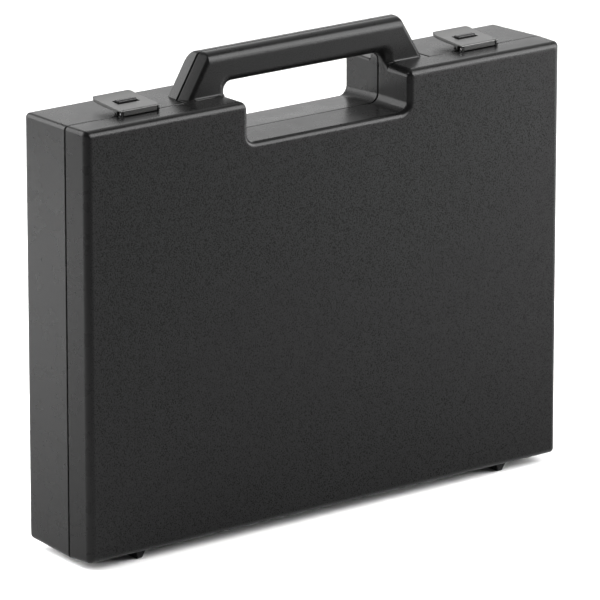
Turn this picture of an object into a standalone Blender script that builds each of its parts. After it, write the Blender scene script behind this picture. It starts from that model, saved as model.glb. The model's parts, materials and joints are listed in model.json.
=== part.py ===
"""Moulded plastic attache case: two drafted half shells with an integral handle, two hasps, four pins.

Metres, +Z up. The case stands on its hinge ribs, with the origin in the middle of its footprint.
The lid (front_shell) faces -Y, and the deep half (rear_shell) faces +Y.
"""

import math

import bmesh
import bpy
from mathutils import Matrix, Vector

# Overall body
WIDTH = 0.340
BODY_HEIGHT = 0.2486
DEPTH = 0.0605
FOOT_HEIGHT = 0.0043
PARTING_Y = -0.0113          # plane between lid and rear shell
DRAFT = 0.045                # walls lean in by this much per metre of depth
TOP_DRAFT = 0.010            # the top is nearly level
CORNER_RADIUS = 0.0026       # upright and lying corners, seen from the front
FACE_RADIUS = 0.0042         # edge between the faces and the side walls
WALL = 0.0025
SEAM = 0.0008                # open joint between the two shells

# Handle
GRIP_SEAM_Y = -0.0018        # the parting steps back to this plane at the handle and the notch
STEP_X = 0.0864              # half-width of that step
HANDLE_FRONT_Y = -0.0100
HANDLE_BACK_Y = 0.0067
HANDLE_RISE = 0.0249
HANDLE_BASE_X = 0.0861
HANDLE_END_SLOPE = 0.61      # how far the ends lean in for each metre of height
HANDLE_FRONT_TAPER = 0.43    # the ends narrow towards the front face of the handle
HANDLE_BACK_TAPER = 0.05
HANDLE_CORNER = 0.0034
HANDLE_EDGE = 0.0063
HANDLE_END_EDGE = 0.0019     # rounding between the front of the handle and its ends
HANDLE_FILLET = 0.0016       # where the front of the handle meets the body
HANDLE_RIB = 0.0016          # cross ribs inside the hollow handle
HANDLE_RIB_PITCH = 0.0220
HANDLE_RIBS = 3              # on each side of the middle one

# Hand opening under the handle
NOTCH_X = 0.0572
NOTCH_DEPTH = 0.0238         # below the top of the body, at the seam
NOTCH_FRONT_DRAFT = 0.010    # draft of its walls and floor, in front of the seam and behind it
NOTCH_BACK_DRAFT = 0.060
NOTCH_FLOOR_FRONT_DRAFT = 0.015
NOTCH_FLOOR_BACK_DRAFT = 0.067
NOTCH_CORNER = 0.0055
NOTCH_FRONT_EDGE = 0.0034    # rounding where the opening meets the front face
NOTCH_BACK_EDGE = 0.0016
NOTCH_TOP_EDGE = 0.0050      # rounding along the top of the body and round the grip
NOTCH_TOP_BACK_EDGE = 0.0020 # the same behind the seam
GRIP_CLEARANCE = 0.0060      # from the top of the body to the underside of the grip
GRIP_DRAFT = 0.10
GRIP_CORNER = 0.0060

# Latches: a hasp on the lid drops over a lug on the rear shell
LATCH_X = 0.1212
LATCH_WIDTH = 0.0270
LATCH_CORNER = 0.0032
LATCH_FRONT_Y = -0.0152
LATCH_BACK_Y = 0.0128
LATCH_PIVOT_Y = -0.0141
LATCH_PIVOT_RISE = 0.0015
LATCH_EAR_RADIUS = 0.0011
LATCH_EAR_WIDTH = 0.0015
LATCH_PIN_RADIUS = 0.00055
LATCH_CLEARANCE = 0.0003
WINDOW_WIDTH = 0.0147
WINDOW_FRONT_Y = -0.0050
WINDOW_BACK_Y = 0.0012

# Hinge: an arm under the lid between two ribs under the rear shell
HINGE_X = 0.1310
HINGE_AXIS_Z = 0.0020
KNUCKLE_RADIUS = 0.0019
HINGE_PIN_RADIUS = 0.0010
HINGE_BORE_CLEARANCE = 0.00006
ARM_WIDTH_TOP = 0.0078
ARM_WIDTH_TOE = 0.0032
ARM_FRONT_Y = -0.0252
RIB_WIDTH = 0.0044
RIB_GAP = 0.0004
RIB_BACK_Y = 0.0220

# Tongue on the rear shell that guides the lid
TONGUE_THICKNESS = 0.0012
TONGUE_REACH = 0.0024
TONGUE_CLEARANCE = 0.0003

ARC_STEPS = 4
ROUND_SIDES = 24

FRONT_Y = -DEPTH / 2
BACK_Y = DEPTH / 2
BODY_BOTTOM = FOOT_HEIGHT
BODY_TOP = FOOT_HEIGHT + BODY_HEIGHT
BODY_MIDDLE = FOOT_HEIGHT + BODY_HEIGHT / 2
HANDLE_TOP = BODY_TOP + HANDLE_RISE
NOTCH_FLOOR = BODY_TOP - NOTCH_DEPTH
HINGE_AXIS = Vector((0, PARTING_Y, HINGE_AXIS_Z))
LATCH_PIVOT_Z = BODY_TOP + LATCH_PIVOT_RISE
FAR = 0.4

CASE_COLLECTION = "attache_case"
CUTTER_COLLECTION = "cutters"


# Scene and object helpers

def clear_scene():
    for obj in list(bpy.data.objects):
        bpy.data.objects.remove(obj, do_unlink=True)
    for name in (CASE_COLLECTION, CUTTER_COLLECTION):
        collection = bpy.data.collections.new(name)
        bpy.context.scene.collection.children.link(collection)


def material(name, colour, roughness, metallic):
    mat = bpy.data.materials.new(name)
    mat.use_nodes = True
    shader = mat.node_tree.nodes["Principled BSDF"]
    shader.inputs["Base Color"].default_value = (*colour, 1.0)
    shader.inputs["Roughness"].default_value = roughness
    shader.inputs["Metallic"].default_value = metallic
    return mat


def solid(name, bm):
    """Turns a bmesh into an object that still counts as a tool, not as a part."""
    bmesh.ops.recalc_face_normals(bm, faces=bm.faces)
    mesh = bpy.data.meshes.new(name)
    bm.to_mesh(mesh)
    bm.free()
    obj = bpy.data.objects.new(name, mesh)
    bpy.data.collections[CUTTER_COLLECTION].objects.link(obj)
    obj.hide_render = True
    obj.display_type = "WIRE"
    return obj


def combine(target, tool, operation):
    """Applies one Boolean to target, and removes the tool."""
    modifier = target.modifiers.new(operation.title(), "BOOLEAN")
    modifier.operation = operation
    modifier.solver = "EXACT"
    modifier.object = tool
    depsgraph = bpy.context.evaluated_depsgraph_get()
    mesh = bpy.data.meshes.new_from_object(target.evaluated_get(depsgraph))
    target.modifiers.clear()
    target.data = mesh
    bpy.data.objects.remove(tool, do_unlink=True)
    return target


def cut(target, tool):
    return combine(target, tool, "DIFFERENCE")


def add(target, tool):
    return combine(target, tool, "UNION")


def keep_inside(target, tool):
    return combine(target, tool, "INTERSECT")


def copy_of(obj):
    twin = obj.copy()
    twin.data = obj.data.copy()
    bpy.data.collections[CUTTER_COLLECTION].objects.link(twin)
    return twin


def box(low, high):
    bm = bmesh.new()
    centre = (Vector(low) + Vector(high)) / 2
    size = Vector(high) - Vector(low)
    bmesh.ops.create_cube(bm, size=1.0, matrix=Matrix.LocRotScale(centre, None, size))
    return solid("box", bm)


def rod(radius, x_low, x_high, y, z):
    """A cylinder along X."""
    bm = bmesh.new()
    centre = Vector(((x_low + x_high) / 2, y, z))
    turn = Matrix.Rotation(math.pi / 2, 4, "Y")
    bmesh.ops.create_cone(bm, cap_ends=True, segments=ROUND_SIDES, radius1=radius, radius2=radius,
                          depth=x_high - x_low, matrix=Matrix.Translation(centre) @ turn)
    return solid("rod", bm)


def loft(sections):
    """A closed solid through loops of points, each loop with the same number of points."""
    bm = bmesh.new()
    rings = [[bm.verts.new(point) for point in section] for section in sections]
    for ring, following in zip(rings, rings[1:]):
        for i, vertex in enumerate(ring):
            j = (i + 1) % len(ring)
            bm.faces.new((vertex, ring[j], following[j], following[i]))
    bm.faces.new(rings[0])
    bm.faces.new(rings[-1])
    return solid("loft", bm)


def prism_along_x(outline, x_low, x_high):
    """Sweeps an outline of (y, z) points along X."""
    return loft([[(x, y, z) for y, z in outline] for x in (x_low, x_high)])


def arc(centre, radius, start, stop, steps=ARC_STEPS):
    """Points (a, b) on an arc, angles in degrees."""
    points = []
    for i in range(steps + 1):
        angle = math.radians(start + (stop - start) * i / steps)
        points.append((centre[0] + radius * math.cos(angle), centre[1] + radius * math.sin(angle)))
    return points


def mirrored(points):
    """Closes a right-hand half outline, listed from bottom to top, with its left-hand half."""
    return points + [(-x, z) for x, z in reversed(points)]


# Body of the case

def flare(depth, radius):
    """How far a rounded edge has opened at a depth below its face: a quarter circle."""
    if depth >= radius:
        return 0.0
    return radius - math.sqrt(radius ** 2 - (radius - depth) ** 2)


def rounding_depths(radius):
    """Depths below a face at which a quarter circle is sampled, evenly in angle."""
    return [radius * (1 - math.cos(math.pi / 2 * i / ARC_STEPS)) for i in range(1, ARC_STEPS + 1)]


def body_section(y, inset, roll):
    """Rounded rectangle of the body at depth y, taken in by inset and by the rounding of an edge."""
    reach = abs(y - PARTING_Y)
    half = WIDTH / 2 - DRAFT * reach - inset - roll
    top = BODY_TOP - TOP_DRAFT * reach - inset - roll
    bottom = BODY_BOTTOM + DRAFT * reach + inset + roll
    radius = max(CORNER_RADIUS - inset - roll * 0.5, 0.0006)
    outline = arc((half - radius, bottom + radius), radius, -90, 0)
    outline += arc((half - radius, top - radius), radius, 0, 90)
    return [(x, y, z) for x, z in mirrored(outline)]


def body_block(start, stop, inset=0.0, start_edge=0.0, stop_edge=0.0):
    """The drafted body from depth start to depth stop, with rounded edges at its two ends."""
    depths = {start, stop}
    depths |= {start + d for d in rounding_depths(start_edge)} if start_edge else set()
    depths |= {stop - d for d in rounding_depths(stop_edge)} if stop_edge else set()
    if start < PARTING_Y < stop:
        depths.add(PARTING_Y)
    sections = []
    for y in sorted(depths):
        roll = 0.0
        if start_edge:
            roll = max(roll, flare(y - start, start_edge))
        if stop_edge:
            roll = max(roll, flare(stop - y, stop_edge))
        sections.append(body_section(y, inset, roll))
    return loft(sections)


def notch_side(y):
    """Half-width of the hand opening at depth y."""
    draft = NOTCH_FRONT_DRAFT if y < GRIP_SEAM_Y else NOTCH_BACK_DRAFT
    return NOTCH_X + draft * abs(y - GRIP_SEAM_Y)


def notch_floor(y):
    """Height of the hand opening's floor at depth y."""
    draft = NOTCH_FLOOR_FRONT_DRAFT if y < GRIP_SEAM_Y else NOTCH_FLOOR_BACK_DRAFT
    return NOTCH_FLOOR - draft * abs(y - GRIP_SEAM_Y)


def notch_section(y):
    """Outline of the hand opening at depth y: floor, walls, rolled top edges and grip underside."""
    front_roll = flare(max(y - FRONT_Y, 0.0), NOTCH_FRONT_EDGE)
    back_roll = flare(max(BACK_Y - y, 0.0), NOTCH_BACK_EDGE)
    roll = max(front_roll, back_roll)
    grip_depth = max(min(y - HANDLE_FRONT_Y, HANDLE_BACK_Y - y), 0.0)
    top_edge = NOTCH_TOP_EDGE if y < GRIP_SEAM_Y else NOTCH_TOP_BACK_EDGE
    top_roll = flare(grip_depth, top_edge)
    side = notch_side(y) + roll
    floor = notch_floor(y) - roll
    within_grip = min(abs(y - GRIP_SEAM_Y), HANDLE_BACK_Y - GRIP_SEAM_Y)
    ceiling = BODY_TOP + GRIP_CLEARANCE + GRIP_DRAFT * within_grip + top_roll
    corner = NOTCH_CORNER + roll
    half = arc((side - corner, floor + corner), corner, -90, 0)
    for i in range(ARC_STEPS + 1):
        angle = math.pi / 2 * i / ARC_STEPS
        rise = BODY_TOP - top_edge * (1 - math.sin(angle))
        half.append((side + top_roll * (1 - math.cos(angle)), rise))
    half += arc((side + top_roll - GRIP_CORNER, ceiling - GRIP_CORNER), GRIP_CORNER, 0, 90)
    return [(x, y, z) for x, z in mirrored(half)]


def notch_cutter():
    """The hand opening through both shells and under the grip."""
    stations = {FRONT_Y - 0.01, FRONT_Y, HANDLE_FRONT_Y, GRIP_SEAM_Y, HANDLE_BACK_Y, BACK_Y, BACK_Y + 0.01}
    stations |= {FRONT_Y + d for d in rounding_depths(NOTCH_FRONT_EDGE)}
    stations |= {HANDLE_FRONT_Y + d for d in rounding_depths(NOTCH_TOP_EDGE)}
    stations |= {HANDLE_BACK_Y - d for d in rounding_depths(NOTCH_TOP_BACK_EDGE)}
    stations |= {BACK_Y - d for d in rounding_depths(NOTCH_BACK_EDGE)}
    return loft([notch_section(y) for y in sorted(stations)])


def notch_lining():
    """What the hollow of the case leaves standing around the hand opening."""
    sections = []
    for y in (FRONT_Y, GRIP_SEAM_Y, BACK_Y):
        side = notch_side(y) + WALL
        floor = notch_floor(y) - WALL
        half = arc((side - NOTCH_CORNER, floor + NOTCH_CORNER), NOTCH_CORNER, -90, 0)
        half.append((side, BODY_TOP))
        sections.append([(x, y, z) for x, z in mirrored(half)])
    return loft(sections)


def handle_block(inset, low):
    """The handle without its opening: a rounded bar cut to a trapezium with rounded top corners."""
    front = HANDLE_FRONT_Y + inset
    back = HANDLE_BACK_Y - inset
    top = HANDLE_TOP - inset
    radius = HANDLE_EDGE - inset
    bar = arc((back - radius, top - radius), radius, 0, 90)
    bar += arc((front + radius, top - radius), radius, 90, 180)
    if inset:
        bar.append((front, low))
    else:
        bar += arc((front - HANDLE_FILLET, BODY_TOP + HANDLE_FILLET), HANDLE_FILLET, 0, -90)
        bar.append((front - HANDLE_FILLET, low))
    bar.append((back, low))
    handle = prism_along_x(bar, -FAR, FAR)

    sections = []
    slope = HANDLE_END_SLOPE
    sweep = 90 - math.degrees(math.atan(slope))
    radius = max(HANDLE_CORNER - inset, 0.0008)
    reach = radius * math.tan(math.radians(sweep / 2))
    stations = {HANDLE_FRONT_Y, GRIP_SEAM_Y, HANDLE_BACK_Y}
    stations |= {HANDLE_FRONT_Y + d for d in rounding_depths(HANDLE_END_EDGE)}
    for y in sorted(stations):
        taper = HANDLE_FRONT_TAPER if y < GRIP_SEAM_Y else HANDLE_BACK_TAPER
        rounding = flare(y - HANDLE_FRONT_Y, HANDLE_END_EDGE)
        base_x = HANDLE_BASE_X - taper * abs(y - GRIP_SEAM_Y) - (inset + rounding) * math.hypot(1, slope)
        low_x = base_x + slope * (BODY_TOP - low)
        top_x = base_x - slope * (top - BODY_TOP)
        half = [(low_x, low)] + arc((top_x - reach, top - radius), radius, 90 - sweep, 90)
        sections.append([(x, y, z) for x, z in mirrored(half)])
    outline = loft([[(x, -FAR, z) for x, _, z in sections[0]]] + sections
                   + [[(x, FAR, z) for x, _, z in sections[-1]]])
    return keep_inside(handle, outline)


def handle_hollow():
    """Pockets inside the handle, with cross ribs left between them."""
    hollow = handle_block(WALL, BODY_TOP)
    half_depth = HANDLE_BACK_Y - GRIP_SEAM_Y
    ceiling = BODY_TOP + GRIP_CLEARANCE + GRIP_DRAFT * half_depth + WALL
    side = notch_side(HANDLE_FRONT_Y) + WALL
    cut(hollow, box((-side, -FAR, 0), (side, FAR, ceiling)))
    for number in range(-HANDLE_RIBS, HANDLE_RIBS + 1):
        x = number * HANDLE_RIB_PITCH
        cut(hollow, box((x - HANDLE_RIB / 2, -FAR, 0), (x + HANDLE_RIB / 2, FAR, FAR)))
    return hollow


def closed_case():
    """Both shells in one piece, before they are parted."""
    case = body_block(FRONT_Y, BACK_Y, start_edge=FACE_RADIUS, stop_edge=FACE_RADIUS)
    add(case, handle_block(0.0, BODY_TOP - 0.0015))
    cut(case, notch_cutter())
    inner = FACE_RADIUS - WALL
    hollow = body_block(FRONT_Y + WALL, BACK_Y - WALL, WALL, start_edge=inner, stop_edge=inner)
    cut(hollow, notch_lining())
    cut(case, hollow)
    cut(case, handle_hollow())
    return case


def lid_side(grow):
    """The space in front of the stepped parting, moved back by grow."""
    space = box((-FAR, -FAR, -FAR), (FAR, PARTING_Y + grow, FAR))
    step_x = STEP_X + SEAM / 2 + grow
    step_low = NOTCH_FLOOR - 0.012 - grow
    add(space, box((-step_x, -FAR / 2, step_low), (step_x, GRIP_SEAM_Y + grow, FAR / 2 + 0.12)))
    return space


def tongue():
    """A low rim inside the rear shell that reaches into the lid, left out around the handle."""
    front = PARTING_Y - TONGUE_REACH
    back = PARTING_Y + 0.0040
    root_front = PARTING_Y + SEAM / 2 + 0.0004
    gap = WALL + TONGUE_CLEARANCE
    rim = body_block(front, back, gap, start_edge=0.0004)
    cut(rim, body_block(front - 0.001, back + 0.001, gap + TONGUE_THICKNESS))
    root = body_block(root_front, back, WALL - 0.0004)
    cut(root, body_block(root_front - 0.001, back + 0.001, gap + TONGUE_THICKNESS))
    add(rim, root)
    cut(rim, box((-STEP_X - 0.004, -FAR, BODY_MIDDLE), (STEP_X + 0.004, FAR, FAR)))
    return rim


# Hinge parts

def hinge_arm(x):
    """Arm under the lid that carries a knuckle and stands on its toe."""
    top = BODY_BOTTOM + 0.0012
    toe = 0.0016
    barrel_front = PARTING_Y - 0.0030
    half_top = ARM_WIDTH_TOP / 2
    half_toe = ARM_WIDTH_TOE / 2
    sections = []
    profile = arc((ARM_FRONT_Y + toe, toe), toe, 180, 270) + [(barrel_front, 0.0)]
    for y, low in profile:
        sections.append([(x - half_toe, y, low), (x + half_toe, y, low),
                         (x + half_top, y, top), (x - half_top, y, top)])
    arm = loft(sections)
    barrel = rod(KNUCKLE_RADIUS, x - half_top, x + half_top, PARTING_Y, HINGE_AXIS_Z)
    web_back = PARTING_Y - SEAM / 2 - 0.0002
    add(barrel, box((x - half_top, barrel_front - 0.0012, 0.0002), (x + half_top, web_back, top)))
    return add(arm, barrel)


def hinge_rib(x_low, x_high):
    """Rib under the rear shell: a knuckle in front, then a runner that the case stands on."""
    top = BODY_BOTTOM + 0.0012
    runner_front = PARTING_Y + SEAM / 2 + 0.0002
    outline = [(runner_front, 0.0), (RIB_BACK_Y - 0.0030, 0.0), (RIB_BACK_Y, top), (runner_front, top)]
    rib = prism_along_x(outline, x_low, x_high)
    return add(rib, rod(KNUCKLE_RADIUS, x_low, x_high, PARTING_Y, HINGE_AXIS_Z))


def rib_spans(x):
    """Left and right edges of the two ribs beside an arm."""
    inner = ARM_WIDTH_TOP / 2 + RIB_GAP
    return ((x - inner - RIB_WIDTH, x - inner), (x + inner, x + inner + RIB_WIDTH))


def hinge_bore(x, clearance):
    reach = ARM_WIDTH_TOP / 2 + RIB_GAP + RIB_WIDTH + 0.001
    radius = HINGE_PIN_RADIUS + clearance
    return rod(radius, x - reach, x + reach, PARTING_Y, HINGE_AXIS_Z)


# Latch parts

def latch_ear(x_low, x_high):
    """Ear on the lid's top that holds one end of a latch pin."""
    ear = rod(LATCH_EAR_RADIUS, x_low, x_high, LATCH_PIVOT_Y, LATCH_PIVOT_Z)
    foot_low = BODY_TOP - 0.0012
    return add(ear, box((x_low, LATCH_PIVOT_Y - LATCH_EAR_RADIUS * 0.99, foot_low),
                        (x_high, LATCH_PIVOT_Y + LATCH_EAR_RADIUS * 0.99, LATCH_PIVOT_Z)))


def ear_spans(x):
    """Left and right edges of the two ears under the ends of a hasp."""
    outer = LATCH_WIDTH / 2 - 0.0002
    inner = outer - LATCH_EAR_WIDTH
    return ((x - outer, x - inner), (x + inner, x + outer))


def latch_lug(x):
    """Catch on the rear shell that stands in the hasp's window."""
    base = BODY_TOP - 0.0015
    top = BODY_TOP + 0.0060
    front = WINDOW_FRONT_Y + 0.0014
    back = WINDOW_BACK_Y - 0.0009
    outline = [(front, base), (back, base), (back, top - 0.0004), (back - 0.0004, top),
               (front + 0.0006, top), (front, top - 0.0006)]
    half = WINDOW_WIDTH / 2 - 0.0010
    return prism_along_x(outline, x - half, x + half)


def latch_rest_recess(x):
    """Shallow recess under a hasp's lip, so that the lip can roll over."""
    half = LATCH_WIDTH / 2 - 0.0004 - LATCH_EAR_WIDTH
    return box((x - half, LATCH_FRONT_Y + 0.0001, BODY_TOP - 0.0006),
               (x + half, LATCH_PIVOT_Y + 0.0014, BODY_TOP + 0.01))


def hasp_plan(x):
    """The hasp seen from above, with rounded back corners."""
    half = LATCH_WIDTH / 2
    centre = (half - LATCH_CORNER, LATCH_BACK_Y - LATCH_CORNER)
    side = [(half, LATCH_FRONT_Y - 0.001)] + arc(centre, LATCH_CORNER, 0, 90)
    return loft([[(x + across, y, z) for across, y in mirrored(side)]
                 for z in (BODY_TOP - 0.001, BODY_TOP + 0.02)])


def hasp(name, x):
    """Latch plate with a hinged lip in front, a window, and an upturned finger edge behind."""
    def rise(millimetres):
        return BODY_TOP + millimetres / 1000
    outline = [
        (LATCH_FRONT_Y + 0.0004, rise(0.1)),
        (LATCH_PIVOT_Y + 0.0022, rise(0.1)),
        (LATCH_PIVOT_Y + 0.0027, rise(0.9)),
        (LATCH_PIVOT_Y + 0.0051, rise(2.4)),
        (0.0009, rise(2.9)),
        (0.0064, rise(3.5)),
        (0.0096, rise(4.2)),
        (0.0112, rise(5.0)),
        (LATCH_BACK_Y, rise(5.5)),
        (LATCH_BACK_Y, rise(6.1)),
        (LATCH_BACK_Y - 0.0004, rise(6.5)),
        (0.0070, rise(5.5)),
        (LATCH_FRONT_Y + 0.0005, rise(3.75)),
        (LATCH_FRONT_Y, rise(3.3)),
        (LATCH_FRONT_Y, rise(0.5)),
    ]
    plate = prism_along_x(outline, x - LATCH_WIDTH / 2, x + LATCH_WIDTH / 2)
    half_window = WINDOW_WIDTH / 2
    cut(plate, box((x - half_window, WINDOW_FRONT_Y, BODY_TOP),
                   (x + half_window, WINDOW_BACK_Y, BODY_TOP + 0.02)))
    ear_room = LATCH_EAR_RADIUS + 0.0002
    for x_low, x_high in ear_spans(x):
        outward = -1 if x_low < x - 0.005 else 1
        low = x_low - LATCH_CLEARANCE if outward > 0 else x_low - 0.002
        high = x_high + 0.002 if outward > 0 else x_high + LATCH_CLEARANCE
        cut(plate, box((low, LATCH_FRONT_Y - 0.001, BODY_TOP - 0.001),
                       (high, LATCH_PIVOT_Y + ear_room + 0.0012, LATCH_PIVOT_Z + ear_room)))
    keep_inside(plate, hasp_plan(x))
    bore = rod(LATCH_PIN_RADIUS + 0.00003, x - LATCH_WIDTH, x + LATCH_WIDTH, LATCH_PIVOT_Y, LATCH_PIVOT_Z)
    cut(plate, bore)
    plate.name = name
    return plate


# Named parts

def finish_part(obj, name, mat, origin):
    """Puts a finished solid in the case's collection, with its origin on its own axis."""
    obj.data.transform(Matrix.Translation(-Vector(origin)))
    obj.location = origin
    obj.name = name
    obj.data.name = name
    obj.hide_render = False
    obj.display_type = "TEXTURED"
    obj.data.materials.clear()
    obj.data.materials.append(mat)
    obj.data.shade_smooth()
    obj.data.set_sharp_from_angle(angle=math.radians(35))
    bpy.data.collections[CUTTER_COLLECTION].objects.unlink(obj)
    bpy.data.collections[CASE_COLLECTION].objects.link(obj)
    return obj


def axis_empty(name, place, parent=None):
    empty = bpy.data.objects.new(name, None)
    bpy.data.collections[CASE_COLLECTION].objects.link(empty)
    if parent:
        empty.parent = parent
        place = Vector(place) - parent.location
    empty.location = place
    empty.empty_display_size = 0.01
    return empty


def attach(obj, parent, parent_place):
    obj.location -= Vector(parent_place)
    obj.parent = parent


def rear_shell(case):
    shell = cut(case, lid_side(SEAM / 2))
    add(shell, tongue())
    for side in (-1, 1):
        add(shell, latch_lug(side * LATCH_X))
        for x_low, x_high in rib_spans(side * HINGE_X):
            add(shell, hinge_rib(x_low, x_high))
        cut(shell, hinge_bore(side * HINGE_X, HINGE_BORE_CLEARANCE / 2))
    return shell


def front_shell(case):
    shell = keep_inside(case, lid_side(-SEAM / 2))
    for side in (-1, 1):
        add(shell, hinge_arm(side * HINGE_X))
        cut(shell, hinge_bore(side * HINGE_X, HINGE_BORE_CLEARANCE))
        latch_x = side * LATCH_X
        cut(shell, latch_rest_recess(latch_x))
        for x_low, x_high in ear_spans(latch_x):
            add(shell, latch_ear(x_low, x_high))
        cut(shell, rod(LATCH_PIN_RADIUS + 0.00006, latch_x - LATCH_WIDTH, latch_x + LATCH_WIDTH,
                       LATCH_PIVOT_Y, LATCH_PIVOT_Z))
    return shell


def build():
    clear_scene()
    black_plastic = material("black_plastic", (0.028, 0.028, 0.027), 0.5, 0.0)
    latch_plastic = material("latch_plastic", (0.032, 0.032, 0.031), 0.42, 0.0)
    steel = material("pin_steel", (0.55, 0.55, 0.56), 0.3, 1.0)

    case = closed_case()
    lid = front_shell(copy_of(case))
    base = rear_shell(case)
    finish_part(base, "rear_shell", black_plastic, (0, 0, 0))
    lid_axis = axis_empty("lid_axis", HINGE_AXIS)
    finish_part(lid, "front_shell", black_plastic, HINGE_AXIS)
    attach(lid, lid_axis, HINGE_AXIS)

    for side, word in ((-1, "left"), (1, "right")):
        hinge_x = side * HINGE_X
        reach = ARM_WIDTH_TOP / 2 + RIB_GAP + RIB_WIDTH - 0.0003
        pin = rod(HINGE_PIN_RADIUS, hinge_x - reach, hinge_x + reach, PARTING_Y, HINGE_AXIS_Z)
        finish_part(pin, "hinge_pin_" + word, steel, (hinge_x, PARTING_Y, HINGE_AXIS_Z))

        latch_x = side * LATCH_X
        pivot = Vector((latch_x, LATCH_PIVOT_Y, LATCH_PIVOT_Z))
        latch_axis = axis_empty("latch_axis_" + word, pivot, lid_axis)
        plate = finish_part(hasp("hasp", latch_x), "latch_" + word, latch_plastic, pivot)
        pin_reach = LATCH_WIDTH / 2 - 0.0006
        pin = rod(LATCH_PIN_RADIUS, latch_x - pin_reach, latch_x + pin_reach, LATCH_PIVOT_Y, LATCH_PIVOT_Z)
        pin = finish_part(pin, "latch_pin_" + word, steel, pivot)
        for piece in (plate, pin):
            attach(piece, latch_axis, pivot)


build()
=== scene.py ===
"""Looks of the moulded plastic attache case: fine shells, hasps and pins, their materials, and the studio.

Metres, +Z up. The case stands on its hinge ribs. The lid faces -Y and the deep half faces +Y.
"""

import json
import math

import bmesh
import bpy
from mathutils import Matrix, Vector


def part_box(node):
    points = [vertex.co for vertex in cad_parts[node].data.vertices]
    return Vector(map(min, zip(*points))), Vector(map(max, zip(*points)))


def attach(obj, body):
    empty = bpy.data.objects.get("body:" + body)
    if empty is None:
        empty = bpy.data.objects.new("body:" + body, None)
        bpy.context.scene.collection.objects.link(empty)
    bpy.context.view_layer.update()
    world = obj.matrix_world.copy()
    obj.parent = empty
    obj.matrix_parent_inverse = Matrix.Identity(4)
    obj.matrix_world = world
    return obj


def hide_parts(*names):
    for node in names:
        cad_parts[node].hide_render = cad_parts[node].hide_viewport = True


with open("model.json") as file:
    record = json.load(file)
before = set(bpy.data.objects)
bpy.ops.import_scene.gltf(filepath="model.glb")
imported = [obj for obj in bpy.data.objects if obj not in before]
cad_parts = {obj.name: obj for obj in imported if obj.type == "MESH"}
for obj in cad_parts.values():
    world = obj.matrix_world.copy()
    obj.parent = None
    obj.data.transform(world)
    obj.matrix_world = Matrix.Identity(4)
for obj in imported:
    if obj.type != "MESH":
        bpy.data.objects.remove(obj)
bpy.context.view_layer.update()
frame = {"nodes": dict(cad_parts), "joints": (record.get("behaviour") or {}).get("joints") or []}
JOINTS = {joint["name"]: joint for joint in frame["joints"]}

# Overall body, read from the frame
REAR_LOW, REAR_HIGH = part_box("rear_shell")
LID_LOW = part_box("front_shell")[0]
HASP_LOW, HASP_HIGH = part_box("latch_right")
WIDTH = REAR_HIGH.x - REAR_LOW.x
FRONT_Y = LID_LOW.y
BACK_Y = REAR_HIGH.y
PARTING_Y = JOINTS["lid_hinge"]["pos_m"][1]
HINGE_AXIS_Z = JOINTS["lid_hinge"]["pos_m"][2]
LATCH_X = JOINTS["latch_right_hinge"]["pos_m"][0]
LATCH_PIVOT_Y = JOINTS["latch_right_hinge"]["pos_m"][1]
LATCH_PIVOT_Z = JOINTS["latch_right_hinge"]["pos_m"][2]
LATCH_FRONT_Y = HASP_LOW.y
LATCH_BACK_Y = HASP_HIGH.y
LATCH_WIDTH = HASP_HIGH.x - HASP_LOW.x

# Shell sizes
FOOT_HEIGHT = 0.0043
LATCH_PIVOT_RISE = 0.0015
BODY_BOTTOM = FOOT_HEIGHT
BODY_TOP = LATCH_PIVOT_Z - LATCH_PIVOT_RISE
BODY_MIDDLE = (BODY_BOTTOM + BODY_TOP) / 2
DRAFT = 0.045
TOP_DRAFT = 0.010
CORNER_RADIUS = 0.0026
SMALLEST_CORNER = 0.0006
CORNER_ROLL_SHARE = 0.5      # how much of an edge's rounding the corners take over
FACE_RADIUS = 0.0042
WALL = 0.0025
SEAM = 0.0011
SHELL_EDGE = 0.00035         # rounding of the shells' sharp edges
CUT_MARGIN = 0.001           # how far a cutter reaches past what it cuts
CUT_PAST = 0.01

# Handle
GRIP_SEAM_Y = -0.0018
STEP_X = 0.0864              # half-width of the part of the lid that reaches back under the grip
STEP_DROP = 0.012
STEP_TOP = 0.32
HANDLE_FRONT_Y = -0.0100
HANDLE_BACK_Y = 0.0067
HANDLE_TOP = REAR_HIGH.z
HANDLE_BASE_X = 0.0861
HANDLE_END_SLOPE = 0.61
HANDLE_FRONT_TAPER = 0.43
HANDLE_BACK_TAPER = 0.05
HANDLE_CORNER = 0.0034
HANDLE_EDGE = 0.0063
HANDLE_END_EDGE = 0.0019
HANDLE_FILLET = 0.0016
HANDLE_SINK = 0.0015         # how far the handle starts below the top of the body
SMALLEST_HANDLE_CORNER = 0.0008
HANDLE_RIB = 0.0016
HANDLE_RIB_PITCH = 0.0220
HANDLE_RIBS = 3

# Hand opening
NOTCH_X = 0.0572
NOTCH_FLOOR = BODY_TOP - 0.0238
NOTCH_FRONT_DRAFT = 0.010
NOTCH_BACK_DRAFT = 0.060
NOTCH_FLOOR_FRONT_DRAFT = 0.015
NOTCH_FLOOR_BACK_DRAFT = 0.067
NOTCH_CORNER = 0.0055
NOTCH_FRONT_EDGE = 0.0034
NOTCH_BACK_EDGE = 0.0016
NOTCH_TOP_EDGE = 0.0050
NOTCH_TOP_BACK_EDGE = 0.0020
GRIP_CLEARANCE = 0.0060
GRIP_DRAFT = 0.10
GRIP_CORNER = 0.0060

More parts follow.
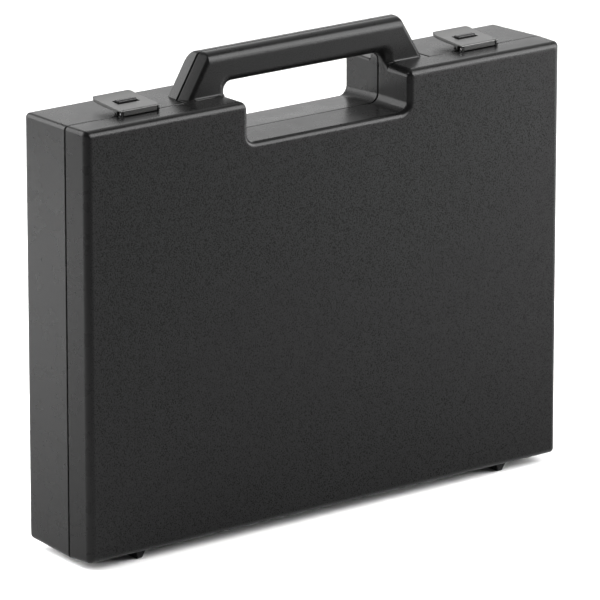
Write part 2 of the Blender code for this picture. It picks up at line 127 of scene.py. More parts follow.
# Latches
LATCH_CORNER = 0.0032
LATCH_EAR_RADIUS = 0.0011
LATCH_EAR_WIDTH = 0.0015
EAR_INSET = 0.0002           # how far an ear stays inside the hasp's side
EAR_SINK = 0.0012
EAR_FOOT_SHARE = 0.99        # width of an ear's foot, as a share of its round top
LATCH_PIN_RADIUS = 0.00055
LATCH_CLEARANCE = 0.0003
LATCH_BORE_CLEARANCE = 0.00003
HASP_EDGE = 0.0002
WINDOW_WIDTH = 0.0147
WINDOW_FRONT_Y = -0.0050
WINDOW_BACK_Y = 0.0012
LUG_SINK = 0.0015
LUG_RISE = 0.0060
LUG_FRONT_GAP = 0.0014       # gaps between the lug and the window's edges
LUG_BACK_GAP = 0.0009
LUG_SIDE_GAP = 0.0010
LUG_FRONT_CHAMFER = 0.0006
LUG_BACK_CHAMFER = 0.0004
RECESS_DEPTH = 0.0006
RECESS_SIDE_GAP = 0.0004
RECESS_FRONT_GAP = 0.0001
RECESS_BACK = 0.0014
EAR_ROOM = 0.0002            # room over and behind an ear, inside the hasp
EAR_ROOM_BACK = 0.0012
EAR_ROOM_SIDE = 0.002

# Hinge
HINGE_X = 0.1310
KNUCKLE_RADIUS = 0.0019
HINGE_PIN_RADIUS = 0.0010
HINGE_BORE_CLEARANCE = 0.00006
ARM_WIDTH_TOP = 0.0078
ARM_WIDTH_TOE = 0.0032
ARM_FRONT_Y = -0.0252
RIB_WIDTH = 0.0044
RIB_GAP = 0.0004
RIB_BACK_Y = 0.0220
RIB_BACK_SLOPE = 0.0030
HINGE_BITE = 0.0012          # how far arms and ribs reach up into the bottom of the body
TOE_RADIUS = 0.0016
BARREL_REACH = 0.0030
WEB_BITE = 0.0012
WEB_RISE = 0.0002
SEAM_MARGIN = 0.0002
BORE_MARGIN = 0.001

# Tongue
TONGUE_THICKNESS = 0.0012
TONGUE_REACH = 0.0024
TONGUE_CLEARANCE = 0.0003
TONGUE_DEPTH = 0.0040        # how far it reaches back into the rear shell
TONGUE_HANDLE_GAP = 0.004
TONGUE_EDGE = 0.0004
TONGUE_BITE = 0.0004         # how far its root reaches into the wall behind it

ARC_STEPS = 10
ROUND_SIDES = 48
FAR = 0.4

# Finish
BEVEL_ANGLE = 32             # degrees
SHARP_ANGLE = 40
FLAT_WEIGHT = 80             # how strongly large flat faces keep their own normals
GRAIN_SCALE = 1500.0
FINE_SCALE = 2600.0
MOTTLE_SCALE = 70.0
GRAIN_STARTS = 0.80          # how far a face has to turn towards the front or back to be etched
GRAIN_BLEND = 0.15
GRAIN_CONTRAST = 0.18
GRAIN_TONE = 0.25
GRAIN_SHEEN = 0.022
GRAIN_ROUGHNESS_SPREAD = 0.10
MOTTLE_TONE = 0.08
MOTTLE_ROUGHNESS_SPREAD = 0.03
FINE_SHARE = 0.10            # height of the fine satin, as a share of the coarse grain
CASE_GRAIN_HEIGHT = 0.00010
LATCH_SATIN_HEIGHT = 0.00001

# Studio
FLOOR_SIZE = 60.0
FLOOR_WHITE = 0.95
CAMERA_PLACE = Vector((-2.17296, -2.76619, 1.13336))
CAMERA_YAW = 38.181          # degrees, turned right from looking along +Y
CAMERA_PITCH = 16.049        # degrees, looking down
CAMERA_ROLL = -0.016
CAMERA_LENS = 386.39
WORLD_LIGHT = 0.14


# Mesh tools

def solid(name, bm):
    bmesh.ops.recalc_face_normals(bm, faces=bm.faces)
    mesh = bpy.data.meshes.new(name)
    bm.to_mesh(mesh)
    bm.free()
    obj = bpy.data.objects.new(name, mesh)
    bpy.context.scene.collection.objects.link(obj)
    return obj


def combine(target, tool, operation):
    """Applies one Boolean to target, and removes the tool."""
    modifier = target.modifiers.new(operation.title(), "BOOLEAN")
    modifier.operation = operation
    modifier.solver = "EXACT"
    modifier.object = tool
    settle(target)
    bpy.data.objects.remove(tool, do_unlink=True)
    return target


def settle(obj):
    """Applies an object's modifiers."""
    depsgraph = bpy.context.evaluated_depsgraph_get()
    mesh = bpy.data.meshes.new_from_object(obj.evaluated_get(depsgraph))
    obj.modifiers.clear()
    obj.data = mesh
    return obj


def cut(target, tool):
    return combine(target, tool, "DIFFERENCE")


def add(target, tool):
    return combine(target, tool, "UNION")


def keep_inside(target, tool):
    return combine(target, tool, "INTERSECT")


def copy_of(obj):
    twin = obj.copy()
    twin.data = obj.data.copy()
    bpy.context.scene.collection.objects.link(twin)
    return twin


def box(low, high):
    bm = bmesh.new()
    centre = (Vector(low) + Vector(high)) / 2
    size = Vector(high) - Vector(low)
    bmesh.ops.create_cube(bm, size=1.0, matrix=Matrix.LocRotScale(centre, None, size))
    return solid("box", bm)


def rod(radius, x_low, x_high, y, z):
    """A cylinder along X."""
    bm = bmesh.new()
    centre = Vector(((x_low + x_high) / 2, y, z))
    turn = Matrix.Rotation(math.pi / 2, 4, "Y")
    bmesh.ops.create_cone(bm, cap_ends=True, segments=ROUND_SIDES, radius1=radius, radius2=radius,
                          depth=x_high - x_low, matrix=Matrix.Translation(centre) @ turn)
    return solid("rod", bm)


def loft(sections):
    """A closed solid through loops of points, each loop with the same number of points."""
    bm = bmesh.new()
    rings = [[bm.verts.new(point) for point in section] for section in sections]
    for ring, following in zip(rings, rings[1:]):
        for i, vertex in enumerate(ring):
            j = (i + 1) % len(ring)
            bm.faces.new((vertex, ring[j], following[j], following[i]))
    bm.faces.new(rings[0])
    bm.faces.new(rings[-1])
    return solid("loft", bm)


def prism_along_x(outline, x_low, x_high):
    """Sweeps an outline of (y, z) points along X."""
    return loft([[(x, y, z) for y, z in outline] for x in (x_low, x_high)])


def arc(centre, radius, start, stop, steps=ARC_STEPS):
    """Points (a, b) on an arc, angles in degrees."""
    points = []
    for i in range(steps + 1):
        angle = math.radians(start + (stop - start) * i / steps)
        points.append((centre[0] + radius * math.cos(angle), centre[1] + radius * math.sin(angle)))
    return points


def mirrored(points):
    """Closes a right-hand half outline, listed from bottom to top, with its left-hand half."""
    return points + [(-x, z) for x, z in reversed(points)]


def flare(depth, radius):
    """How far a rounded edge has opened at a depth below its face: a quarter circle."""
    if depth >= radius:
        return 0.0
    return radius - math.sqrt(radius ** 2 - (radius - depth) ** 2)


def rounding_depths(radius):
    """Depths below a face at which a quarter circle is sampled, evenly in angle."""
    return [radius * (1 - math.cos(math.pi / 2 * i / ARC_STEPS)) for i in range(1, ARC_STEPS + 1)]


# Body

def body_section(y, inset, roll):
    """Rounded rectangle of the body at depth y, taken in by inset and by the rounding of an edge."""
    reach = abs(y - PARTING_Y)
    half = WIDTH / 2 - DRAFT * reach - inset - roll
    top = BODY_TOP - TOP_DRAFT * reach - inset - roll
    bottom = BODY_BOTTOM + DRAFT * reach + inset + roll
    radius = max(CORNER_RADIUS - inset - roll * CORNER_ROLL_SHARE, SMALLEST_CORNER)
    outline = arc((half - radius, bottom + radius), radius, -90, 0)
    outline += arc((half - radius, top - radius), radius, 0, 90)
    return [(x, y, z) for x, z in mirrored(outline)]


def body_block(start, stop, inset=0.0, start_edge=0.0, stop_edge=0.0):
    """The drafted body from depth start to depth stop, with rounded edges at its two ends."""
    depths = {start, stop}
    depths |= {start + d for d in rounding_depths(start_edge)} if start_edge else set()
    depths |= {stop - d for d in rounding_depths(stop_edge)} if stop_edge else set()
    if start < PARTING_Y < stop:
        depths.add(PARTING_Y)
    sections = []
    for y in sorted(depths):
        roll = 0.0
        if start_edge:
            roll = max(roll, flare(y - start, start_edge))
        if stop_edge:
            roll = max(roll, flare(stop - y, stop_edge))
        sections.append(body_section(y, inset, roll))
    return loft(sections)


def notch_side(y):
    """Half-width of the hand opening at depth y."""
    draft = NOTCH_FRONT_DRAFT if y < GRIP_SEAM_Y else NOTCH_BACK_DRAFT
    return NOTCH_X + draft * abs(y - GRIP_SEAM_Y)


def notch_floor(y):
    """Height of the hand opening's floor at depth y."""
    draft = NOTCH_FLOOR_FRONT_DRAFT if y < GRIP_SEAM_Y else NOTCH_FLOOR_BACK_DRAFT
    return NOTCH_FLOOR - draft * abs(y - GRIP_SEAM_Y)


def notch_section(y):
    """Outline of the hand opening at depth y: floor, walls, rolled top edges and grip underside."""
    front_roll = flare(max(y - FRONT_Y, 0.0), NOTCH_FRONT_EDGE)
    back_roll = flare(max(BACK_Y - y, 0.0), NOTCH_BACK_EDGE)
    roll = max(front_roll, back_roll)
    grip_depth = max(min(y - HANDLE_FRONT_Y, HANDLE_BACK_Y - y), 0.0)
    top_edge = NOTCH_TOP_EDGE if y < GRIP_SEAM_Y else NOTCH_TOP_BACK_EDGE
    top_roll = flare(grip_depth, top_edge)
    side = notch_side(y) + roll
    floor = notch_floor(y) - roll
    within_grip = min(abs(y - GRIP_SEAM_Y), HANDLE_BACK_Y - GRIP_SEAM_Y)
    ceiling = BODY_TOP + GRIP_CLEARANCE + GRIP_DRAFT * within_grip + top_roll
    corner = NOTCH_CORNER + roll
    half = arc((side - corner, floor + corner), corner, -90, 0)
    for i in range(ARC_STEPS + 1):
        angle = math.pi / 2 * i / ARC_STEPS
        rise = BODY_TOP - top_edge * (1 - math.sin(angle))
        half.append((side + top_roll * (1 - math.cos(angle)), rise))
    half += arc((side + top_roll - GRIP_CORNER, ceiling - GRIP_CORNER), GRIP_CORNER, 0, 90)
    return [(x, y, z) for x, z in mirrored(half)]


def notch_cutter():
    """The hand opening through both shells and under the grip."""
    stations = {FRONT_Y - CUT_PAST, FRONT_Y, HANDLE_FRONT_Y, GRIP_SEAM_Y}
    stations |= {HANDLE_BACK_Y, BACK_Y, BACK_Y + CUT_PAST}
    stations |= {FRONT_Y + d for d in rounding_depths(NOTCH_FRONT_EDGE)}
    stations |= {HANDLE_FRONT_Y + d for d in rounding_depths(NOTCH_TOP_EDGE)}
    stations |= {HANDLE_BACK_Y - d for d in rounding_depths(NOTCH_TOP_BACK_EDGE)}
    stations |= {BACK_Y - d for d in rounding_depths(NOTCH_BACK_EDGE)}
    return loft([notch_section(y) for y in sorted(stations)])


def notch_lining():
    """What the hollow of the case leaves standing around the hand opening."""
    sections = []
    for y in (FRONT_Y, GRIP_SEAM_Y, BACK_Y):
        side = notch_side(y) + WALL
        floor = notch_floor(y) - WALL
        half = arc((side - NOTCH_CORNER, floor + NOTCH_CORNER), NOTCH_CORNER, -90, 0)
        half.append((side, BODY_TOP))
        sections.append([(x, y, z) for x, z in mirrored(half)])
    return loft(sections)


def handle_block(inset, low):
    """The handle without its opening: a rounded bar cut to a trapezium with rounded top corners."""
    front = HANDLE_FRONT_Y + inset
    back = HANDLE_BACK_Y - inset
    top = HANDLE_TOP - inset
    radius = HANDLE_EDGE - inset
    bar = arc((back - radius, top - radius), radius, 0, 90)
    bar += arc((front + radius, top - radius), radius, 90, 180)
    if inset:
        bar.append((front, low))
    else:
        bar += arc((front - HANDLE_FILLET, BODY_TOP + HANDLE_FILLET), HANDLE_FILLET, 0, -90)
        bar.append((front - HANDLE_FILLET, low))
    bar.append((back, low))
    handle = prism_along_x(bar, -FAR, FAR)

    sections = []
    slope = HANDLE_END_SLOPE
    sweep = 90 - math.degrees(math.atan(slope))
    radius = max(HANDLE_CORNER - inset, SMALLEST_HANDLE_CORNER)
    reach = radius * math.tan(math.radians(sweep / 2))
    stations = {HANDLE_FRONT_Y, GRIP_SEAM_Y, HANDLE_BACK_Y}
    stations |= {HANDLE_FRONT_Y + d for d in rounding_depths(HANDLE_END_EDGE)}
    for y in sorted(stations):
        taper = HANDLE_FRONT_TAPER if y < GRIP_SEAM_Y else HANDLE_BACK_TAPER
        rounding = flare(y - HANDLE_FRONT_Y, HANDLE_END_EDGE)
        base_x = HANDLE_BASE_X - taper * abs(y - GRIP_SEAM_Y) - (inset + rounding) * math.hypot(1, slope)
        low_x = base_x + slope * (BODY_TOP - low)
        top_x = base_x - slope * (top - BODY_TOP)
        half = [(low_x, low)] + arc((top_x - reach, top - radius), radius, 90 - sweep, 90)
        sections.append([(x, y, z) for x, z in mirrored(half)])
    outline = loft([[(x, -FAR, z) for x, _, z in sections[0]]] + sections
                   + [[(x, FAR, z) for x, _, z in sections[-1]]])
    return keep_inside(handle, outline)


def handle_hollow():
    """Pockets inside the handle, with cross ribs left between them."""
    hollow = handle_block(WALL, BODY_TOP)
    half_depth = HANDLE_BACK_Y - GRIP_SEAM_Y
    ceiling = BODY_TOP + GRIP_CLEARANCE + GRIP_DRAFT * half_depth + WALL
    side = notch_side(HANDLE_FRONT_Y) + WALL
    cut(hollow, box((-side, -FAR, 0), (side, FAR, ceiling)))
    for number in range(-HANDLE_RIBS, HANDLE_RIBS + 1):
        x = number * HANDLE_RIB_PITCH
        cut(hollow, box((x - HANDLE_RIB / 2, -FAR, 0), (x + HANDLE_RIB / 2, FAR, FAR)))
    return hollow


def closed_case():
    """Both shells in one piece, before they are parted."""
    case = body_block(FRONT_Y, BACK_Y, start_edge=FACE_RADIUS, stop_edge=FACE_RADIUS)
    add(case, handle_block(0.0, BODY_TOP - HANDLE_SINK))
    cut(case, notch_cutter())
    inner = FACE_RADIUS - WALL
    hollow = body_block(FRONT_Y + WALL, BACK_Y - WALL, WALL, start_edge=inner, stop_edge=inner)
    cut(hollow, notch_lining())
    cut(case, hollow)
    cut(case, handle_hollow())
    return case


def lid_side(grow):
    """The space in front of the stepped parting, moved back by grow."""
    space = box((-FAR, -FAR, -FAR), (FAR, PARTING_Y + grow, FAR))
    step_x = STEP_X + SEAM / 2 + grow
    step_low = NOTCH_FLOOR - STEP_DROP - grow
    add(space, box((-step_x, -FAR / 2, step_low), (step_x, GRIP_SEAM_Y + grow, STEP_TOP)))
    return space


def tongue():
    """A low rim inside the rear shell that reaches into the lid, left out around the handle."""
    front = PARTING_Y - TONGUE_REACH
    back = PARTING_Y + TONGUE_DEPTH
    root_front = PARTING_Y + SEAM / 2 + TONGUE_BITE
    gap = WALL + TONGUE_CLEARANCE
    rim = body_block(front, back, gap, start_edge=TONGUE_EDGE)
    cut(rim, body_block(front - CUT_MARGIN, back + CUT_MARGIN, gap + TONGUE_THICKNESS))
    root = body_block(root_front, back, WALL - TONGUE_BITE)
    cut(root, body_block(root_front - CUT_MARGIN, back + CUT_MARGIN, gap + TONGUE_THICKNESS))
    add(rim, root)
    side = STEP_X + TONGUE_HANDLE_GAP
    cut(rim, box((-side, -FAR, BODY_MIDDLE), (side, FAR, FAR)))
    return rim


# Hinge parts

def hinge_arm(x):
    """Arm under the lid that carries a knuckle and stands on its toe."""
    top = BODY_BOTTOM + HINGE_BITE
    barrel_front = PARTING_Y - BARREL_REACH
    half_top = ARM_WIDTH_TOP / 2
    half_toe = ARM_WIDTH_TOE / 2
    sections = []
    profile = arc((ARM_FRONT_Y + TOE_RADIUS, TOE_RADIUS), TOE_RADIUS, 180, 270) + [(barrel_front, 0.0)]
    for y, low in profile:
        sections.append([(x - half_toe, y, low), (x + half_toe, y, low),
                         (x + half_top, y, top), (x - half_top, y, top)])
    arm = loft(sections)
    barrel = rod(KNUCKLE_RADIUS, x - half_top, x + half_top, PARTING_Y, HINGE_AXIS_Z)
    web_back = PARTING_Y - SEAM / 2 - SEAM_MARGIN
    add(barrel, box((x - half_top, barrel_front - WEB_BITE, WEB_RISE), (x + half_top, web_back, top)))
    return add(arm, barrel)


def hinge_rib(x_low, x_high):
    """Rib under the rear shell: a knuckle in front, then a runner that the case stands on."""
    top = BODY_BOTTOM + HINGE_BITE
    runner_front = PARTING_Y + SEAM / 2 + SEAM_MARGIN
    outline = [(runner_front, 0.0), (RIB_BACK_Y - RIB_BACK_SLOPE, 0.0), (RIB_BACK_Y, top),
               (runner_front, top)]
    rib = prism_along_x(outline, x_low, x_high)
    return add(rib, rod(KNUCKLE_RADIUS, x_low, x_high, PARTING_Y, HINGE_AXIS_Z))


def rib_spans(x):
    """Left and right edges of the two ribs beside an arm."""
    inner = ARM_WIDTH_TOP / 2 + RIB_GAP
    return ((x - inner - RIB_WIDTH, x - inner), (x + inner, x + inner + RIB_WIDTH))


def hinge_bore(x, clearance):
    """Room for a hinge pin through an arm and its two ribs."""
    reach = ARM_WIDTH_TOP / 2 + RIB_GAP + RIB_WIDTH + BORE_MARGIN
    radius = HINGE_PIN_RADIUS + clearance
    return rod(radius, x - reach, x + reach, PARTING_Y, HINGE_AXIS_Z)


# Latch parts

def latch_bore(x, clearance):
    """Room for a latch pin through a hasp or through its two ears."""
    return rod(LATCH_PIN_RADIUS + clearance, x - LATCH_WIDTH, x + LATCH_WIDTH, LATCH_PIVOT_Y, LATCH_PIVOT_Z)


def latch_ear(x_low, x_high):
    """Ear on the lid's top that holds one end of a latch pin."""
    ear = rod(LATCH_EAR_RADIUS, x_low, x_high, LATCH_PIVOT_Y, LATCH_PIVOT_Z)
    half_foot = LATCH_EAR_RADIUS * EAR_FOOT_SHARE
    return add(ear, box((x_low, LATCH_PIVOT_Y - half_foot, BODY_TOP - EAR_SINK),
                        (x_high, LATCH_PIVOT_Y + half_foot, LATCH_PIVOT_Z)))


def ear_spans(x):
    """Left and right edges of the two ears under the ends of a hasp."""
    outer = LATCH_WIDTH / 2 - EAR_INSET
    inner = outer - LATCH_EAR_WIDTH
    return ((x - outer, x - inner), (x + inner, x + outer))


def latch_lug(x):
    """Catch on the rear shell that stands in the hasp's window."""
    base = BODY_TOP - LUG_SINK
    top = BODY_TOP + LUG_RISE
    front = WINDOW_FRONT_Y + LUG_FRONT_GAP
    back = WINDOW_BACK_Y - LUG_BACK_GAP
    outline = [(front, base), (back, base), (back, top - LUG_BACK_CHAMFER), (back - LUG_BACK_CHAMFER, top),
               (front + LUG_FRONT_CHAMFER, top), (front, top - LUG_FRONT_CHAMFER)]
    half = WINDOW_WIDTH / 2 - LUG_SIDE_GAP
    return prism_along_x(outline, x - half, x + half)


def latch_rest_recess(x):
    """Shallow recess under a hasp's lip, so that the lip can roll over."""
    half = LATCH_WIDTH / 2 - RECESS_SIDE_GAP - LATCH_EAR_WIDTH
    return box((x - half, LATCH_FRONT_Y + RECESS_FRONT_GAP, BODY_TOP - RECESS_DEPTH),
               (x + half, LATCH_PIVOT_Y + RECESS_BACK, BODY_TOP + CUT_PAST))


def hasp_plan(x):
    """The hasp seen from above, with rounded back corners."""
    half = LATCH_WIDTH / 2
    centre = (half - LATCH_CORNER, LATCH_BACK_Y - LATCH_CORNER)
    side = [(half, LATCH_FRONT_Y - CUT_MARGIN)] + arc(centre, LATCH_CORNER, 0, 90)
    return loft([[(x + across, y, z) for across, y in mirrored(side)]
                 for z in (BODY_TOP - CUT_MARGIN, BODY_TOP + 2 * CUT_PAST)])


def hasp(name, x):
    """Latch plate with a hinged lip in front, a window, and an upturned finger edge behind."""
    def rise(millimetres):
        return BODY_TOP + millimetres / 1000
    underside = [
        (LATCH_FRONT_Y + 0.0004, rise(0.1)),
        (LATCH_PIVOT_Y + 0.0022, rise(0.1)),
        (LATCH_PIVOT_Y + 0.0027, rise(0.9)),
        (LATCH_PIVOT_Y + 0.0051, rise(2.4)),
        (0.0009, rise(2.9)),
        (0.0064, rise(3.5)),
        (0.0096, rise(4.2)),
        (0.0112, rise(5.0)),
        (LATCH_BACK_Y, rise(5.5)),
    ]
    top = [
        (LATCH_BACK_Y, rise(6.1)),
        (LATCH_BACK_Y - 0.0004, rise(6.5)),
        (0.0070, rise(5.5)),
        (LATCH_FRONT_Y + 0.0005, rise(3.75)),
        (LATCH_FRONT_Y, rise(3.3)),
        (LATCH_FRONT_Y, rise(0.5)),
    ]
    plate = prism_along_x(underside + top, x - LATCH_WIDTH / 2, x + LATCH_WIDTH / 2)
    half_window = WINDOW_WIDTH / 2
    cut(plate, box((x - half_window, WINDOW_FRONT_Y, BODY_TOP),
                   (x + half_window, WINDOW_BACK_Y, BODY_TOP + 2 * CUT_PAST)))
    ear_room = LATCH_EAR_RADIUS + EAR_ROOM
    for x_low, x_high in ear_spans(x):
        on_right = x_low > x
        low = x_low - (LATCH_CLEARANCE if on_right else EAR_ROOM_SIDE)
        high = x_high + (EAR_ROOM_SIDE if on_right else LATCH_CLEARANCE)
        cut(plate, box((low, LATCH_FRONT_Y - CUT_MARGIN, BODY_TOP - CUT_MARGIN),
                       (high, LATCH_PIVOT_Y + ear_room + EAR_ROOM_BACK, LATCH_PIVOT_Z + ear_room)))
    keep_inside(plate, hasp_plan(x))
    cut(plate, latch_bore(x, LATCH_BORE_CLEARANCE))
    plate.name = name
    return plate


# Shells

def rear_shell(case):
    shell = cut(case, lid_side(SEAM / 2))
    add(shell, tongue())
    for side in (-1, 1):
        add(shell, latch_lug(side * LATCH_X))
        for x_low, x_high in rib_spans(side * HINGE_X):
            add(shell, hinge_rib(x_low, x_high))
        cut(shell, hinge_bore(side * HINGE_X, HINGE_BORE_CLEARANCE / 2))
    return shell


def front_shell(case):
    shell = keep_inside(case, lid_side(-SEAM / 2))
    for side in (-1, 1):
        add(shell, hinge_arm(side * HINGE_X))
        cut(shell, hinge_bore(side * HINGE_X, HINGE_BORE_CLEARANCE))
        latch_x = side * LATCH_X
        cut(shell, latch_rest_recess(latch_x))
        for x_low, x_high in ear_spans(latch_x):
            add(shell, latch_ear(x_low, x_high))
        cut(shell, latch_bore(latch_x, 2 * LATCH_BORE_CLEARANCE))
    return shell


def soften(obj, width, segments=2):
    """Rounds the sharp edges of a finished piece, and keeps it inside its own box."""
    low, high = extent(obj)
    split = obj.modifiers.new("Split large faces", "TRIANGULATE")
    split.min_vertices = 5
    settle(obj)
    bevel = obj.modifiers.new("Bevel", "BEVEL")
    bevel.width = width
    bevel.segments = segments
    bevel.limit_method = "ANGLE"
    bevel.angle_limit = math.radians(BEVEL_ANGLE)
    bevel.use_clamp_overlap = False
    bevel.miter_outer = "MITER_ARC"
    bevel.loop_slide = False
    settle(obj)
    for vertex in obj.data.vertices:
        vertex.co = [min(max(vertex.co[i], low[i]), high[i]) for i in range(3)]
    shade(obj)


def extent(obj):
    """Lowest and highest corner of a mesh."""
    places = [vertex.co for vertex in obj.data.vertices]
    low = [min(place[i] for place in places) for i in range(3)]
    high = [max(place[i] for place in places) for i in range(3)]
    return low, high


def shade(obj):
    """Smooth shading that leaves sharp edges sharp and flat faces flat."""
    obj.data.shade_smooth()
    obj.data.set_sharp_from_angle(angle=math.radians(SHARP_ANGLE))
    weighted = obj.modifiers.new("Weighted normals", "WEIGHTED_NORMAL")
    weighted.keep_sharp = True
    weighted.mode = "FACE_AREA"
    weighted.weight = FLAT_WEIGHT


# Materials

class Nodes:
    """A small helper that adds nodes to one material and links them."""

    def __init__(self, name):
        self.material = bpy.data.materials.new(name)
        self.material.use_nodes = True
        self.tree = self.material.node_tree
        self.shader = self.tree.nodes["Principled BSDF"]

    def add(self, kind, **settings):
        node = self.tree.nodes.new(kind)
        inputs = settings.pop("inputs", {})
        for key, value in settings.items():
            setattr(node, key, value)
        for key, value in inputs.items():
            self.feed(node.inputs[key], value)
        return node

    def feed(self, socket, value):
        if isinstance(value, bpy.types.NodeSocket):
            self.tree.links.new(value, socket)
        else:
            socket.default_value = value

    def math(self, operation, a, b):
        node = self.add("ShaderNodeMath", operation=operation)
        self.feed(node.inputs[0], a)
        self.feed(node.inputs[1], b)
        return node.outputs[0]

    def noise(self, place, scale, detail, roughness=0.5):
        return self.add("ShaderNodeTexNoise", inputs={
            "Vector": place, "Scale": scale, "Detail": detail, "Roughness": roughness}).outputs["Fac"]

    def around(self, noise, middle, spread, contrast=0.20):
        """Turns a noise, which stays near 0.5, into values up to spread below and above the middle."""
        node = self.add("ShaderNodeMapRange", inputs={
            "Value": noise, "From Min": 0.5 - contrast, "From Max": 0.5 + contrast,
            "To Min": middle - spread, "To Max": middle + spread})
        return node.outputs["Result"]

    def paint(self, colour, tone):
        """Base colour, made a little lighter and darker from place to place."""
        grey = self.add("ShaderNodeCombineColor", inputs={
            "Red": tone, "Green": tone, "Blue": tone}).outputs["Color"]
        base = self.add("ShaderNodeMix", data_type="RGBA", blend_type="MULTIPLY")
        self.feed(base.inputs[0], 1.0)
        self.feed(base.inputs[6], (*colour, 1.0))
        self.feed(base.inputs[7], grey)
        self.feed(self.shader.inputs["Base Color"], base.outputs[2])

    def emboss(self, height, depth, strength=1.0):
        """Bump, where a height of 1 stands for the given depth in metres."""
        bump = self.add("ShaderNodeBump", inputs={
            "Strength": strength, "Distance": depth, "Height": height})
        self.feed(self.shader.inputs["Normal"], bump.outputs["Normal"])


def mark_grain(obj):
    """Marks the faces that carry the mould's coarse grain: the upright front and back of the shells."""
    layer = obj.data.attributes.new("grain", "FLOAT", "POINT")
    for vertex, value in zip(obj.data.vertices, layer.data):
        value.value = max(0.0, min(1.0, (abs(vertex.normal.y) - GRAIN_STARTS) / GRAIN_BLEND))


def moulded_plastic(name, colour, specular, roughness, satin_height):
    """Black moulded plastic with a fine satin face."""
    nodes = Nodes(name)
    place = nodes.add("ShaderNodeTexCoord").outputs["Object"]
    fine = nodes.noise(place, FINE_SCALE, 1.0)
    mottle = nodes.noise(place, MOTTLE_SCALE, 4.0, 0.6)
    nodes.paint(colour, nodes.around(mottle, 1.0, MOTTLE_TONE))
    nodes.feed(nodes.shader.inputs["Roughness"], nodes.around(mottle, roughness, MOTTLE_ROUGHNESS_SPREAD))
    nodes.feed(nodes.shader.inputs["Specular IOR Level"], specular)
    nodes.emboss(fine, satin_height)
    return nodes.material


def grained_plastic(name, colour, specular, roughness, grain_roughness, grain_height):
    """Black moulded plastic: eroded grain where the mould is etched, and a finer satin elsewhere."""
    nodes = Nodes(name)
    place = nodes.add("ShaderNodeTexCoord").outputs["Object"]
    grain = nodes.noise(place, GRAIN_SCALE, 2.0, 0.6)
    fine = nodes.noise(place, FINE_SCALE, 1.0)
    mottle = nodes.noise(place, MOTTLE_SCALE, 4.0, 0.6)
    etched = nodes.add("ShaderNodeAttribute", attribute_name="grain").outputs["Fac"]
    speck = nodes.math("MULTIPLY", nodes.around(grain, 0.0, GRAIN_TONE, GRAIN_CONTRAST), etched)
    tone = nodes.math("MULTIPLY", nodes.around(mottle, 1.0, MOTTLE_TONE), nodes.math("ADD", speck, 1.0))
    nodes.paint(colour, tone)
    blend = nodes.add("ShaderNodeMix", data_type="FLOAT")
    nodes.feed(blend.inputs[0], etched)
    nodes.feed(blend.inputs[2], nodes.around(mottle, roughness, MOTTLE_ROUGHNESS_SPREAD))
    nodes.feed(blend.inputs[3], nodes.around(grain, grain_roughness, GRAIN_ROUGHNESS_SPREAD))
    nodes.feed(nodes.shader.inputs["Roughness"], blend.outputs[0])
    sheen = nodes.math("MULTIPLY", nodes.around(grain, 0.0, GRAIN_SHEEN, GRAIN_CONTRAST), etched)
    nodes.feed(nodes.shader.inputs["Specular IOR Level"], nodes.math("ADD", sheen, specular))
    coarse = nodes.math("MULTIPLY", grain, etched)
    nodes.emboss(nodes.math("ADD", coarse, nodes.math("MULTIPLY", fine, FINE_SHARE)), grain_height)
    return nodes.material


def brushed_steel(name, colour, roughness, line_height):
    """Drawn wire: fine lines along X."""
    nodes = Nodes(name)
    place = nodes.add("ShaderNodeTexCoord").outputs["Object"]
    stretch = nodes.add("ShaderNodeMapping", inputs={"Vector": place, "Scale": (40.0, 4000.0, 4000.0)})
    lines = nodes.noise(stretch.outputs["Vector"], 1.0, 3.0)
    nodes.feed(nodes.shader.inputs["Base Color"], (*colour, 1.0))
    nodes.feed(nodes.shader.inputs["Metallic"], 1.0)
    nodes.feed(nodes.shader.inputs["Roughness"], nodes.around(lines, roughness, 0.09))
    nodes.emboss(lines, line_height, strength=0.4)
    return nodes.material


def dress(obj, material):
    """Gives an object one material."""
    obj.data.materials.clear()
    obj.data.materials.append(material)


# Studio

def floor_and_world():
    bpy.ops.mesh.primitive_plane_add(size=FLOOR_SIZE)
    floor = bpy.context.object
    floor.name = "floor"
    nodes = Nodes("pale_floor")
    nodes.feed(nodes.shader.inputs["Base Color"], (FLOOR_WHITE, FLOOR_WHITE, FLOOR_WHITE, 1.0))
    nodes.feed(nodes.shader.inputs["Roughness"], 1.0)
    nodes.feed(nodes.shader.inputs["Specular IOR Level"], 0.0)
    dress(floor, nodes.material)

    world = bpy.data.worlds.new("studio")
    world.use_nodes = True
    background = world.node_tree.nodes["Background"]
    background.inputs["Color"].default_value = (1.0, 1.0, 1.0, 1.0)
    background.inputs["Strength"].default_value = WORLD_LIGHT
    bpy.context.scene.world = world
    bpy.context.scene.view_settings.view_transform = "Standard"


def from_camera(turn, height, distance):
    """A point round the case, turned to the right from the side that the camera is on."""
    heading = math.radians(-90 - CAMERA_YAW + turn)
    level = math.radians(height)
    return Vector((distance * math.cos(level) * math.cos(heading),
                   distance * math.cos(level) * math.sin(heading),
                   distance * math.sin(level)))


def softbox(name, turn, height, distance, size, power, glossy=True, diffuse=True):
    """A lamp that isn't glossy makes no sheen. One that isn't diffuse makes only sheen."""
    light = bpy.data.lights.new(name, "AREA")
    light.shape = "RECTANGLE"
    light.size = size[0]
    light.size_y = size[1]
    light.energy = power
    lamp = bpy.data.objects.new(name, light)
    bpy.context.scene.collection.objects.link(lamp)
    lamp.location = from_camera(turn, height, distance) + Vector((0, 0, BODY_MIDDLE))
    direction = Vector((0, 0, BODY_MIDDLE)) - lamp.location
    lamp.rotation_euler = direction.to_track_quat("-Z", "Y").to_euler()
    lamp.visible_camera = False
    lamp.visible_glossy = glossy
    lamp.visible_diffuse = diffuse
    return lamp


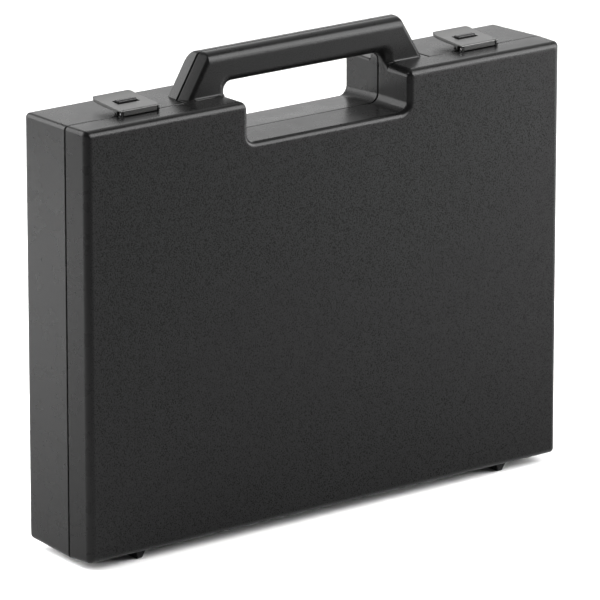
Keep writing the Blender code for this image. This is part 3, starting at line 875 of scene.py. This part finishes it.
def camera():
    """Camera at the photograph's viewing angle, without shift."""
    data = bpy.data.cameras.new("camera")
    data.lens = CAMERA_LENS
    data.sensor_width = 36.0
    data.clip_start = 0.1
    data.clip_end = 50.0
    obj = bpy.data.objects.new("camera", data)
    bpy.context.scene.collection.objects.link(obj)
    turn = Matrix.Rotation(math.radians(-CAMERA_YAW), 4, "Z")
    tilt = Matrix.Rotation(math.radians(90 - CAMERA_PITCH), 4, "X")
    roll = Matrix.Rotation(math.radians(CAMERA_ROLL), 4, "Z")
    obj.matrix_world = Matrix.Translation(CAMERA_PLACE) @ turn @ tilt @ roll
    bpy.context.scene.camera = obj


def build():
    """Dresses the pins, and puts the fine shells and hasps in place of the plain ones."""
    plastic = grained_plastic("case_plastic", (0.005, 0.005, 0.005), specular=0.08,
                              roughness=0.28, grain_roughness=0.31, grain_height=CASE_GRAIN_HEIGHT)
    latch_plastic = moulded_plastic("latch_plastic", (0.024, 0.024, 0.023), specular=0.24,
                                    roughness=0.30, satin_height=LATCH_SATIN_HEIGHT)
    steel = brushed_steel("pin_steel", (0.55, 0.55, 0.56), roughness=0.31, line_height=0.00002)

    case = closed_case()
    lid = front_shell(copy_of(case))
    rear = rear_shell(case)
    for obj, name, body, node in ((rear, "rear_shell_fine", "rear_case", "rear_shell"),
                                  (lid, "front_shell_fine", "lid", "front_shell")):
        obj.name = name
        soften(obj, SHELL_EDGE)
        mark_grain(obj)
        dress(obj, plastic)
        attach(obj, body)
        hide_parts(node)

    for side, word in ((-1, "left"), (1, "right")):
        plate = hasp("latch_" + word + "_fine", side * LATCH_X)
        soften(plate, HASP_EDGE)
        dress(plate, latch_plastic)
        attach(plate, "hasp_" + word)
        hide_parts("latch_" + word)

    for name, node in frame["nodes"].items():
        if "pin" in name:
            dress(node, steel)


def lamps():
    """Softboxes round the case. Turns and heights are in degrees, seen from the case's middle."""
    softbox("overhead", turn=0, height=88, distance=2.2, size=(5.0, 5.0), power=136, glossy=False)
    softbox("back", turn=165, height=18, distance=2.6, size=(2.6, 1.3), power=17, diffuse=False)
    softbox("upper", turn=185, height=50, distance=2.0, size=(4.5, 1.6), power=36, diffuse=False)
    softbox("left", turn=-94, height=25, distance=1.0, size=(0.9, 0.9), power=29)
    softbox("right", turn=102, height=14, distance=1.0, size=(0.6, 0.6), power=20)
    softbox("front", turn=76, height=34, distance=2.0, size=(2.0, 1.3), power=185, diffuse=False)


build()
floor_and_world()
lamps()
camera()
